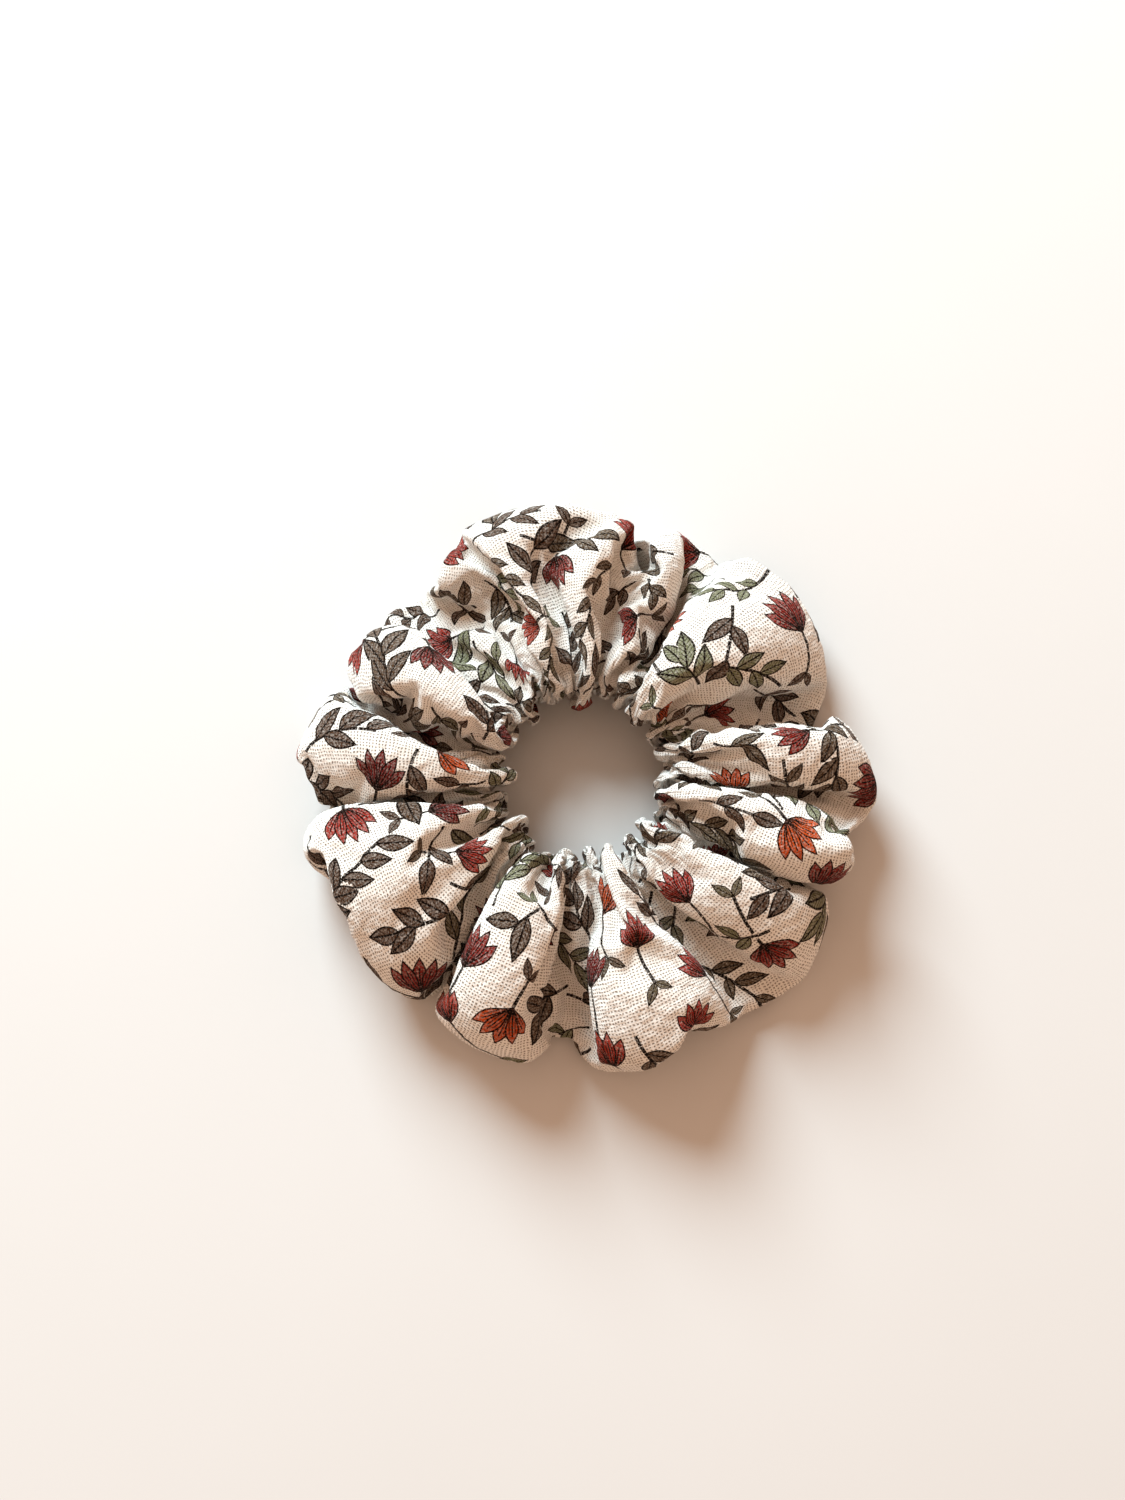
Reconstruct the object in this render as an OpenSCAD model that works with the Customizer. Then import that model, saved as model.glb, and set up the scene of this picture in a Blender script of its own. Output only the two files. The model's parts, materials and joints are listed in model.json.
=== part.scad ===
// Scrunchie: a gathered tube of double cloth on a closed loop of flat elastic.
// The loop lies on its foot at z = 0, with its axis on +Z and the hair opening in the middle.
// The cloth is one tube and the elastic is one band. Both are cut at the gathers here, so that
// each puff can slide away from its neighbour as the loop is pulled open.

/* [Cloth tube] */
// Diameter over the puffs
outer_d = 110; // [100:1:120]
// Diameter of the hair opening when the elastic is relaxed
hole_d = 30; // [28:1:34]
// Height of the fullest puffs above the foot
puff_h = 28; // [26:1:32]
// How far the cloth pulls in from the outer edge at each gather
gather_inset = 6; // [2:0.5:8]
// How far the cloth dips below the puffs at each gather
gather_dip = 8; // [2:0.5:9]
// Thickness of the bunched double cloth
cloth_t = 1.2; // [1:0.1:1.4]

/* [Elastic] */
// Width of the flat elastic
elastic_w = 6; // [4:0.5:7]
// Thickness of the flat elastic
elastic_t = 0.8; // [0.6:0.1:1]
// Space between the inner wall of the cloth tube and the elastic
elastic_gap = 2; // [1.8:0.1:2.4]
// Length of the overlap where the two ends of the elastic are sewn together
elastic_lap = 7; // [5:0.5:7.5]

/* [Thread] */
// Diameter of the sewing thread
thread_d = 0.4; // [0.3:0.1:0.5]
// Radius of the lengthwise seam, which runs round the underside of the tube
long_seam_r = 30; // [28:1:32]
// Part of each stitch pitch that shows as thread in the closing seam
stitch_share = 0.65; // [0.5:0.05:0.8]
// Part of each leg of the zigzag that shows as thread in the elastic's join
zigzag_share = 0.85; // [0.7:0.05:0.85]

/* [Hidden] */
// Angle at which the first puff starts, and the angle that each puff spans, counterclockwise
first_gather = 158;
puff_spans = [30, 25, 25, 28, 31, 31, 25, 28, 35, 23, 40, 39];
// The loop is opened in the middle of this puff, so it comes as two halves that move as one
split_puff = 6;
// Span from which a puff rises to its full height
full_span = 30;
// Clearance between neighbouring pieces at the hair opening
piece_gap = 0.3;
// How much of the rounded section is cut off flat to make the foot
foot_cut = 1;
// Exponent of the section's rounded outline: 2 is an ellipse, more is squarer
section_power = 2.4;
// Exponent of the swell from gather to crest: smaller is a broader crest
swell_power = 0.7;
// Facets round the section and along one puff
section_sides = 20;
puff_steps = 6;
// Number of stitches in the closing seam, and in one side of the elastic's zigzag
closing_stitches = 24;
zigzag_turns = 5;
$fn = 24;

hole_r = hole_d / 2;
crest_r = outer_d / 2;
piece_gap_deg = asin(piece_gap / 2 / hole_r);
elastic_r = hole_r + cloth_t + elastic_gap;
elastic_z = (puff_h - gather_dip / 2 - foot_cut) / 2;
lap_deg = elastic_lap / (elastic_r + elastic_t) * 180 / PI;
closing_seam_angle = puff_start(0) + puff_spans[0] / 3;

// The segments, in order round the loop: [name, start angle, end angle, puff that it belongs to]
SEGMENTS = [
    for (i = [0 : len(puff_spans) - 1])
        for (half = i == split_puff ? [1, 2] : [0])
            [
                str(i + 1, half == 0 ? "" : half == 1 ? "a" : "b"),
                puff_start(i) + (half == 2 ? puff_spans[i] / 2 : 0),
                puff_start(i) + puff_spans[i] * (half == 1 ? 1 / 2 : 1),
                i
            ]
];

// Angle at which puff i starts
function puff_start(i) = i == 0 ? first_gather : puff_start(i - 1) + puff_spans[i - 1];

// 0 at a gather and 1 at the crest of a full puff: narrow puffs swell less
function swell(i, angle) =
    let (u = (angle - puff_start(i)) / puff_spans[i])
    pow(max(0, sin(180 * u)), swell_power) * min(1, puff_spans[i] / full_span);

// A cosine or sine, squared off for the rounded section
function squared(value) = sign(value) * pow(abs(value), 2 / section_power);

// [radius, height] of a point on the section of puff i: turn goes round it from the outer edge,
// and inset steps in from the outside of the cloth
function section_point(i, angle, turn, inset) =
    let (
        full = swell(i, angle),
        outer_r = crest_r - gather_inset * (1 - full),
        top = puff_h - gather_dip * (1 - full),
        half_w = (outer_r - hole_r) / 2,
        half_h = (top + foot_cut) / 2
    )
    [
        (outer_r + hole_r) / 2 + (half_w - inset) * squared(cos(turn)),
        max(inset, (top - foot_cut) / 2 + (half_h - inset) * squared(sin(turn)))
    ];

// The same point in space
function cloth_point(i, angle, turn, inset) =
    let (p = section_point(i, angle, turn, inset))
    [p[0] * cos(angle), p[0] * sin(angle), p[1]];

// One closed ring of section points
function cloth_ring(i, angle, inset) =
    [for (k = [0 : section_sides - 1]) cloth_point(i, angle, 360 * k / section_sides, inset)];

// The triangles between two rings of points that start at index a and b
function ring_faces(a, b) =
    [
        for (k = [0 : section_sides - 1])
            let (next = (k + 1) % section_sides)
            each [[a + k, b + k, b + next], [a + k, b + next, a + next]]
    ];

// A round rod between two points
module rod(from, to, d) {
    run = to - from;
    flat_run = norm([run[0], run[1]]);
    translate(from)
        rotate([0, atan2(flat_run, run[2]), atan2(run[1], run[0])])
            cylinder(h = norm(run), d = d);
}

// An arc of a band about the loop's axis, whose profile is the child
module arc_of(start, end) {
    rotate([0, 0, start])
        rotate_extrude(angle = end - start)
            children();
}

// A length of the cloth tube, open at both ends, with a wall of even thickness and a flat foot
module cloth_puff(s) {
    start = s[1] + piece_gap_deg;
    span = s[2] - piece_gap_deg - start;
    steps = ceil(puff_steps * span / puff_spans[s[3]]);
    rings = [for (inset = [0, cloth_t], j = [0 : steps]) cloth_ring(s[3], start + span * j / steps, inset)];
    inner = (steps + 1) * section_sides;
    color("ivory")
        polyhedron(
            points = [for (ring = rings, p = ring) p],
            faces = [
                for (j = [0 : steps - 1]) each concat(
                    ring_faces(j * section_sides, (j + 1) * section_sides),
                    ring_faces(inner + (j + 1) * section_sides, inner + j * section_sides)
                ),
                each ring_faces(inner, 0),
                each ring_faces(steps * section_sides, inner + steps * section_sides)
            ]
        );
}

// A length of the flat elastic, standing on edge inside the inner wall of the tube.
// The first one also holds the lap, where the free end lies on the outside of the band.
module elastic(s) {
    color("white") {
        arc_of(s[1] + piece_gap_deg, s[2] - piece_gap_deg)
            translate([elastic_r, elastic_z - elastic_w / 2])
                square([elastic_t, elastic_w]);
        if (s[3] == 0)
            arc_of(s[1] + piece_gap_deg, s[1] + piece_gap_deg + lap_deg)
                translate([elastic_r + elastic_t, elastic_z - elastic_w / 2])
                    square([elastic_t, elastic_w]);
    }
}

// A length of the thread that closes the tube along its underside
module long_seam_thread(s) {
    color("beige")
        arc_of(s[1] + piece_gap_deg, s[2] - piece_gap_deg)
            translate([long_seam_r, cloth_t + thread_d])
                circle(d = thread_d);
}

// The topstitching that closes the ends of the tube, over the top from outer edge to inner edge
module closing_seam_stitches() {
    pitch = 180 / closing_stitches;
    color("beige")
        for (k = [0 : closing_stitches - 1])
            rod(
                cloth_point(0, closing_seam_angle, k * pitch, 0),
                cloth_point(0, closing_seam_angle, (k + stitch_share) * pitch, 0),
                thread_d
            );
}

// The zigzag that joins the two ends of the elastic, on the outside of the lap
module elastic_join_stitches() {
    lap_r = elastic_r + 2 * elastic_t;
    lap_start = puff_start(0) + piece_gap_deg;
    reach = elastic_w / 2 - thread_d;
    corners = [
        for (k = [1 : 2 * zigzag_turns])
            let (angle = lap_start + lap_deg * k / (2 * zigzag_turns + 1))
            [lap_r * cos(angle), lap_r * sin(angle), elastic_z + (k % 2 == 0 ? reach : -reach)]
    ];
    color("beige")
        for (k = [0 : len(corners) - 2])
            rod(corners[k], corners[k] + zigzag_share * (corners[k + 1] - corners[k]), thread_d);
}

for (s = SEGMENTS) {
    cloth_puff(s);
    elastic(s);
    long_seam_thread(s);
}
closing_seam_stitches();
elastic_join_stitches();
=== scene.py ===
"""The looks of the scrunchie: a printed gauze tube gathered on its elastic, with its seams.

The tube is laid out as a wide ring, gathered onto the elastic by a cloth simulation, refined and
printed. It is then cut at the middle of each puff, into lengths that each run across one joint.
"""

import json
import math

import bpy
import numpy as np
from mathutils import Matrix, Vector

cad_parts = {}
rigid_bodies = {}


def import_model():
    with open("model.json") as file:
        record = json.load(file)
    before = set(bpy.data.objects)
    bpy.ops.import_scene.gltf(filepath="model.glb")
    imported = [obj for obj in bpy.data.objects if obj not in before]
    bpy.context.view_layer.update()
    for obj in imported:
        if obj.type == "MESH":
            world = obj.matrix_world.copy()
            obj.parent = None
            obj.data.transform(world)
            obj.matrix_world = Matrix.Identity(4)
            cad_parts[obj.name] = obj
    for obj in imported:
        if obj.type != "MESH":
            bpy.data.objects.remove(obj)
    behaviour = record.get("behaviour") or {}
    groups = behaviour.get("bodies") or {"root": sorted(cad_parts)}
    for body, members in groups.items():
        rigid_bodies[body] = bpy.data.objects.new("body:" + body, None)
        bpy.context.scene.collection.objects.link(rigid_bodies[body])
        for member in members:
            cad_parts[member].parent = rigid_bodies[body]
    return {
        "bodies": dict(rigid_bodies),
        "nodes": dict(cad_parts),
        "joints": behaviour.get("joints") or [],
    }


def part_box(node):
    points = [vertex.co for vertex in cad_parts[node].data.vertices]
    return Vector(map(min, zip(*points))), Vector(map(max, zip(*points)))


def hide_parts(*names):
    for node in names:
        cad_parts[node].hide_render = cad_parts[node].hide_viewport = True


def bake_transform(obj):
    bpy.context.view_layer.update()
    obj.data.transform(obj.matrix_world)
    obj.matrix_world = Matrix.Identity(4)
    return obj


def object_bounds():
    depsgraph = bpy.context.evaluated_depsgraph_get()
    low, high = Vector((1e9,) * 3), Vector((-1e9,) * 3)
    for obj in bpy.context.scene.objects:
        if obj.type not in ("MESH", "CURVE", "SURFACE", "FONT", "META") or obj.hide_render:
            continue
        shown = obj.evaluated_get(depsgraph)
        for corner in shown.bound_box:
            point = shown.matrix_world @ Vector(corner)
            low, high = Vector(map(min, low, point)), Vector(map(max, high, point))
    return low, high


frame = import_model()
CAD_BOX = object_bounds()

scene = bpy.context.scene

MM = 0.001

# The cloth tube, sewn and turned but not yet gathered
TUBE_LENGTH = 0.478
TUBE_ROUND = 0.098
# Share of the way round the tube, from the hair opening over the top, where its long seam runs
LONG_SEAM_SHARE = 0.8
# Where the hair opening is round the tube, from the long seam
OPENING_MM = (1 - LONG_SEAM_SHARE) * TUBE_ROUND / MM
# Share of the way along the first puff where the tube's two ends are sewn together
CLOSING_SEAM_SHARE = 1 / 3
# The topstitching's pitch, and how far it is from the folded edge
STITCH_PITCH_MM = 2.6
STITCH_INSET_MM = 1.6
THREAD_R = 0.17 * MM
# Pitch of the gauze's threads
WEAVE_PITCH_MM = 0.56

# The simulation's grid, and how many times finer each side of the finished grid is
SIM_COLUMNS = 300
SIM_ROWS = 54
FINER = 3
# How many times its real size the cloth is simulated at, and for how many frames
SIM_SCALE = 10
SIM_FRAMES = 50
# Height of the tube's middle before it is gathered, at the simulation's scale
WIDE_RING_Z = 0.19

# Depth of the gathers in order round the loop, from 0 for a faint fold to 1 for a deep one
GATHER_DEPTHS = [0.8, 0.3, 0.1, 1, 0.15, 0.1, 1, 0.3, 0.8, 0.3, 1, 0.4]
# Degrees of the loop that one small pleat takes up at the hair opening
PLEAT_SPAN = 18
# Share by which the hair opening is narrower from front to back than from side to side
HOLE_SQUASH = 0.04

# Flowers on the upper side: where on the ring (clock degrees, mm from its middle), which way the
# petals point (clock degrees), and the tint from brick at 0 to orange at 1
TOP_FLOWERS = [
    (350, 38, 165, 0.2), (10, 29, 270, 0.3), (330, 24, 205, 0.5), (308, 34, 185, 0.1),
    (278, 23, 130, 1.0), (270, 38, 20, 0.1), (258, 25, 60, 0.0), (198, 49, 200, 0.9),
    (215, 37, 30, 0.2), (216, 49, 10, 0.6), (182, 34, 0, 0.1), (178, 50, 0, 0.6),
    (156, 48, 0, 0.5), (163, 29, 345, 0.4), (145, 38, 280, 0.4), (107, 40, 140, 1.0),
    (78, 37, 250, 0.3), (90, 25, 0, 0.9), (93, 52, 270, 0.2), (114, 49, 5, 0.2),
    (11, 48, 40, 0.5), (176, 21, 0, 0.9), (141, 25, 330, 0.5), (50, 49, 320, 0.3),
    (299, 58, 270, 0.5), (233, 24, 90, 0.5),
]
# How many places are tried for the other flowers and for the leafy branches
FLOWER_TRIES = 900
BRANCH_TRIES = 14000
# Least distance between the middles of two flowers, and length of a straight bit of stem
FLOWER_SPACING_MM = 17
STEM_STEP_MM = 1.6


# ---- Where things are, from the frame

def node_arc(name):
    """The angles between which a CAD node lies round the loop, in radians."""
    points = np.array([v.co[:2] for v in frame["nodes"][name].data.vertices])
    angles = np.arctan2(points[:, 1], points[:, 0])
    middle = math.atan2(np.sin(angles).mean(), np.cos(angles).mean())
    offsets = (angles - middle + math.pi) % math.tau - math.pi
    return middle + offsets.min(), middle + offsets.max()


def loop_bodies():
    """(body, start angle, end angle) of each body, counterclockwise from the first puff. Each
    one ends where the next one starts."""
    first = node_arc("elastic_1")[0]
    arcs = []
    for body in frame["bodies"]:
        start, end = node_arc(body.replace("puff", "elastic"))
        turned = first + (start - first + 1e-6) % math.tau
        arcs.append((turned, turned + end - start, body))
    starts, ends, bodies = zip(*sorted(arcs))
    edges = [(end + start) / 2 for end, start in zip(ends[:-1], starts[1:])]
    first_edge = (ends[-1] - math.tau + starts[0]) / 2
    edges = [first_edge, *edges, first_edge + math.tau]
    return list(zip(bodies, edges[:-1], edges[1:]))


def joints_round_loop():
    """One item for each joint: its two bodies, the gather's angle, and the angles to cut at. The
    cuts are at the middle of each puff, or at the end of half a puff."""
    bodies = loop_bodies()
    joined = {frozenset((j["parent"], j["child"])) for j in frame["joints"]}
    found = []
    for k, (body, start, end) in enumerate(bodies):
        other, other_start, other_end = bodies[(k + 1) % len(bodies)]
        before, after = bodies[k - 1][0], bodies[(k + 2) % len(bodies)][0]
        if frozenset((body, other)) not in joined:
            continue
        other_end = end + other_end - other_start
        found.append({
            "bodies": (body, other),
            "gather": end,
            "cut_from": (start + end) / 2 if frozenset((before, body)) in joined else start,
            "cut_to": (end + other_end) / 2 if frozenset((other, after)) in joined else other_end,
        })
    return found


JOINTS = joints_round_loop()
GATHERS = [JOINTS[-1]["gather"] - math.tau] + [j["gather"] for j in JOINTS]
LOOP_START = GATHERS[0]
ELASTIC_LOW, ELASTIC_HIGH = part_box("elastic_2")
ELASTIC_Z = (ELASTIC_LOW.z + ELASTIC_HIGH.z) / 2
ELASTIC_WIDTH = ELASTIC_HIGH.z - ELASTIC_LOW.z
ELASTIC_RADII = [math.hypot(v.co.x, v.co.y) for v in frame["nodes"]["elastic_2"].data.vertices]
ELASTIC_R = min(ELASTIC_RADII)
ELASTIC_THICK = max(ELASTIC_RADII) - ELASTIC_R


# ---- Gathering the cloth

def pleat_count(puff):
    """How many small pleats a puff has at the hair opening."""
    span = math.degrees(GATHERS[puff + 1] - GATHERS[puff])
    return max(2, round(span / PLEAT_SPAN))


def pleat_lines():
    """(share of the tube's length, angle, depth) of each line where the cloth is gathered in.
    The depth is 0 at the small pleats between two gathers."""
    lines = []
    for k, (start, end) in enumerate(zip(GATHERS[:-1], GATHERS[1:])):
        for n in range(pleat_count(k)):
            angle = start + (end - start) * n / pleat_count(k)
            share = (angle - LOOP_START) / math.tau
            lines.append((share, angle, GATHER_DEPTHS[k] if n == 0 else 0))
    return lines


def along_puffs(shares):
    """For each share of the tube's length: how far it is along its puff, the depth of the gather
    that is nearer to it, and how many small pleats the puff has."""
    edges = (np.array(GATHERS) - LOOP_START) / math.tau
    puff = np.clip(np.searchsorted(edges, shares + 1e-9, side="right") - 1, 0, len(edges) - 2)
    place = (shares - edges[puff]) / (edges[puff + 1] - edges[puff])
    depths = np.array(GATHER_DEPTHS)
    nearer = np.where(place < 0.5, depths[puff], depths[(puff + 1) % len(depths)])
    return place, nearer, np.array([pleat_count(k) for k in range(len(depths))])[puff]


def wide_ring():
    """The tube before it is gathered, at the simulation's scale: a wide ring with faint waves
    that tell the cloth where its puffs will be."""
    wave = 0.035
    pleat_wave = 0.01
    bow = 0.008
    shares = np.arange(SIM_COLUMNS) / SIM_COLUMNS
    place, depth, pleats = along_puffs(shares)
    swing = np.cos(math.tau * place)
    swing = np.where(swing > 0, swing * depth, swing)[:, None]
    angle = (LOOP_START + math.tau * shares)[:, None]
    turn = (math.tau * np.arange(SIM_ROWS) / SIM_ROWS)[None, :]
    outer = 0.5 - 0.5 * np.cos(turn)
    pleating = pleat_wave * np.cos(math.tau * place * pleats)[:, None] * (1 - outer)
    tube_r = SIM_SCALE * TUBE_ROUND / math.tau - wave * swing * (0.3 + 0.7 * outer) - pleating
    height = WIDE_RING_Z
    rng = np.random.default_rng(4)
    for k in range(3, 14):
        height = height + bow * rng.normal() * np.cos(k * angle + rng.uniform(0, math.tau))
    ring_r = SIM_SCALE * TUBE_LENGTH / math.tau - tube_r * np.cos(turn)
    z = height + tube_r * np.sin(turn)
    return np.stack([ring_r * np.cos(angle), ring_r * np.sin(angle), z], -1)


def pin_places():
    """{(column, row): place} of the points that the elastic holds, at the simulation's scale.
    Small pleats are held at the elastic only, and gathers some way up and down the tube too."""
    widest_r = SIM_SCALE * (ELASTIC_R - 0.4 * MM)
    pin_z = SIM_SCALE * ELASTIC_Z
    row = SIM_SCALE * TUBE_ROUND / SIM_ROWS
    deepest = 7
    straight_up = 0.03
    slopes = (-0.1, 0.15)
    rng = np.random.default_rng(5)
    places = {}
    for share, angle, depth in pleat_lines():
        pin_r = widest_r * (1 - HOLE_SQUASH * math.sin(angle) ** 2)
        column = round(share * SIM_COLUMNS + rng.uniform(-3, 3) * (depth == 0)) % SIM_COLUMNS
        pleat_r = pin_r + rng.uniform(-0.01, 0.01)
        pleat_z = pin_z + rng.uniform(-0.02, 0.02)
        reach = max(1, round(deepest * depth))
        for j in range(-reach, reach + 1):
            r, z = pleat_r, pleat_z + 0.012 * j
            if depth:
                run = abs(j) * row
                out = max(0, run - straight_up)
                r = pin_r + 0.75 * out
                z = pin_z + math.copysign(0.9, j) * min(run, straight_up) + slopes[j > 0] * out
            places[column, j % SIM_ROWS] = (r * math.cos(angle), r * math.sin(angle), z)
    return places


def tube_faces(columns, rows, closed):
    """The quads of a grid that wraps round its rows and, where closed, round its columns too."""
    index = np.arange(columns * rows).reshape(columns, rows)
    if closed:
        index = np.vstack([index, index[:1]])
    here, after = index[:-1], index[1:]
    corners = [here, np.roll(here, -1, 1), np.roll(after, -1, 1), after]
    return np.stack(corners, -1).reshape(-1, 4)


def rod_faces(rings, sides):
    """The quads of a tube, and a face across each end."""
    ends = [list(range(sides))[::-1], [(rings - 1) * sides + k for k in range(sides)]]
    return tube_faces(rings, sides, False).tolist() + ends


def new_mesh_object(name, points, faces, *materials):
    mesh = bpy.data.meshes.new(name)
    mesh.from_pydata(np.asarray(points, float).reshape(-1, 3).tolist(), [], list(map(list, faces)))
    mesh.polygons.foreach_set("use_smooth", [True] * len(mesh.polygons))
    mesh.update()
    for material in materials:
        mesh.materials.append(material)
    made = bpy.data.objects.new(name, mesh)
    scene.collection.objects.link(made)
    return made


def mesh_points(mesh):
    flat = np.zeros(len(mesh.vertices) * 3, np.float32)
    mesh.vertices.foreach_get("co", flat)
    return flat.reshape(-1, 3).astype(float)


def set_cloth(modifier):
    """Light, limp cotton with a little air in it, at ten times its real size."""
    cloth = modifier.settings
    cloth.quality = 6
    cloth.mass = 0.15
    cloth.tension_stiffness = cloth.compression_stiffness = 20
    cloth.shear_stiffness = 5
    cloth.bending_stiffness = 0.05
    cloth.tension_damping = cloth.compression_damping = cloth.shear_damping = 5
    cloth.bending_damping = 0.5
    cloth.air_damping = 3
    cloth.vertex_group_mass = "held"
    cloth.use_pressure = True
    cloth.uniform_pressure_force = 0.15
    cloth.effector_weights.gravity = 0.3
    contact = modifier.collision_settings
    contact.use_collision = True
    contact.distance_min = 0.006
    contact.use_self_collision = True
    contact.self_distance_min = 0.006
    contact.collision_quality = 2
    contact.self_friction = 1
    modifier.point_cache.frame_end = SIM_FRAMES


def make_hoop():
    """A hoop inside the tube that shrinks with the elastic, so that the cloth stays round it."""
    sides = 90
    angle = math.tau * np.arange(sides)[:, None] / sides
    half_width = SIM_SCALE * ELASTIC_WIDTH / 2
    wide_r = SIM_SCALE * (TUBE_LENGTH - TUBE_ROUND) / math.tau + 0.03
    shapes = []
    for inner_r, middle_z in ((wide_r, WIDE_RING_Z), (SIM_SCALE * ELASTIC_R, SIM_SCALE * ELASTIC_Z)):
        r = inner_r + np.array([0, 0.025, 0.025, 0])[None, :]
        z = middle_z + half_width * np.array([-1, -1, 1, 1])[None, :]
        shapes.append(np.stack([r * np.cos(angle), r * np.sin(angle), z + 0 * angle], -1))
    hoop = new_mesh_object("hoop", shapes[0], tube_faces(sides, 4, True)[:, ::-1])
    hoop.modifiers.new("collision", "COLLISION")
    hoop.collision.thickness_outer = 0.005
    hoop.collision.cloth_friction = 0
    draw_in(hoop, shapes[1])
    return hoop


def draw_in(thing, target):
    """Moves an object's points to their target over the first part of the simulation."""
    thing.shape_key_add(name="Basis")
    drawn_in = thing.shape_key_add(name="drawn_in")
    drawn_in.data.foreach_set("co", np.asarray(target, np.float32).ravel())
    for value, time in ((0, 1), (1, int(0.75 * SIM_FRAMES))):
        drawn_in.value = value
        drawn_in.keyframe_insert("value", frame=time)
    for curve in thing.data.shape_keys.animation_data.action.fcurves:
        for key in curve.keyframe_points:
            key.interpolation = "LINEAR"


def gather_cloth():
    """Draws the wide ring in to the elastic and lets it settle on a table. Returns the grid of
    its points in metres."""
    start = wide_ring()
    tube = new_mesh_object("gathering", start, tube_faces(SIM_COLUMNS, SIM_ROWS, True))
    held = tube.vertex_groups.new(name="held")
    target = start.reshape(-1, 3).copy()
    for (column, row), place in pin_places().items():
        held.add([column * SIM_ROWS + row], 1.0, "REPLACE")
        target[column * SIM_ROWS + row] = place
    draw_in(tube, target)
    set_cloth(tube.modifiers.new("cloth", "CLOTH"))
    bpy.ops.mesh.primitive_plane_add(size=4)
    table = bpy.context.object
    table.modifiers.new("collision", "COLLISION")
    table.collision.thickness_outer = 0.005
    hoop = make_hoop()
    for time in range(1, SIM_FRAMES + 1):
        scene.frame_set(time)
    settled = tube.evaluated_get(bpy.context.evaluated_depsgraph_get()).to_mesh()
    points = mesh_points(settled).reshape(SIM_COLUMNS, SIM_ROWS, 3) / SIM_SCALE
    for thing in (tube, table, hoop):
        bpy.data.objects.remove(thing)
    scene.frame_set(1)
    return points


# ---- Refining the cloth

def refine(grid, times):
    """The grid made finer both ways along smooth curves, which wrap round."""
    for axis in (0, 1):
        steps = []
        for t in np.arange(times) / times:
            weights = [(1 - t) ** 3, 3 * t**3 - 6 * t**2 + 4, -3 * t**3 + 3 * t**2 + 3 * t + 1, t**3]
            steps.append(sum(w / 6 * np.roll(grid, 1 - k, axis) for k, w in enumerate(weights)))
        shape = list(grid.shape)
        shape[axis] *= times
        grid = np.stack(steps, axis + 1).reshape(shape)
    return grid


def grid_normals(grid):
    """Outward unit normals of a grid that wraps round both ways."""
    along = np.roll(grid, -1, 0) - np.roll(grid, 1, 0)
    round_tube = np.roll(grid, -1, 1) - np.roll(grid, 1, 1)
    normals = np.cross(round_tube, along)
    return normals / np.linalg.norm(normals, axis=-1, keepdims=True)


def smooth_noise(shape, spacing_mm, low_mm, high_mm, seed):
    """Even random bumps, from -1 to 1 or so, whose widths lie between two sizes. It wraps round."""
    rng = np.random.default_rng(seed)
    spectrum = np.fft.fft2(rng.normal(size=shape))
    along = np.fft.fftfreq(shape[0], spacing_mm[0])[:, None]
    round_tube = np.fft.fftfreq(shape[1], spacing_mm[1])[None, :]
    pitch = 1 / np.maximum(np.hypot(along, round_tube), 1e-6)
    kept = (pitch > low_mm) & (pitch < high_mm)
    noise = np.real(np.fft.ifft2(spectrum * kept))
    return noise / noise.std() / 2


def seam_relief(along_mm, round_mm):
    """How far the two seams raise or sink the cloth, in mm. along_mm is measured from the closing
    seam, and round_mm from the lengthwise one."""
    pucker = 1 + 0.5 * np.cos(math.tau * along_mm / 2.5)
    long_seam = -0.35 * pucker * np.exp(-((round_mm / 0.6) ** 2))
    allowance = 0.15 * np.exp(-(((np.abs(round_mm) - 1.8) / 1.0) ** 2))
    folded_edge = 0.45 * np.clip((along_mm + 0.5) / 0.5, 0, 1) * np.clip(1 - along_mm / 9, 0, 1)
    stitch_dimples = 1 + 0.6 * np.cos(math.tau * round_mm / STITCH_PITCH_MM)
    stitch_line = -0.22 * stitch_dimples * np.exp(-(((along_mm - STITCH_INSET_MM) / 0.5) ** 2))
    return long_seam + allowance + folded_edge + stitch_line


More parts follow.
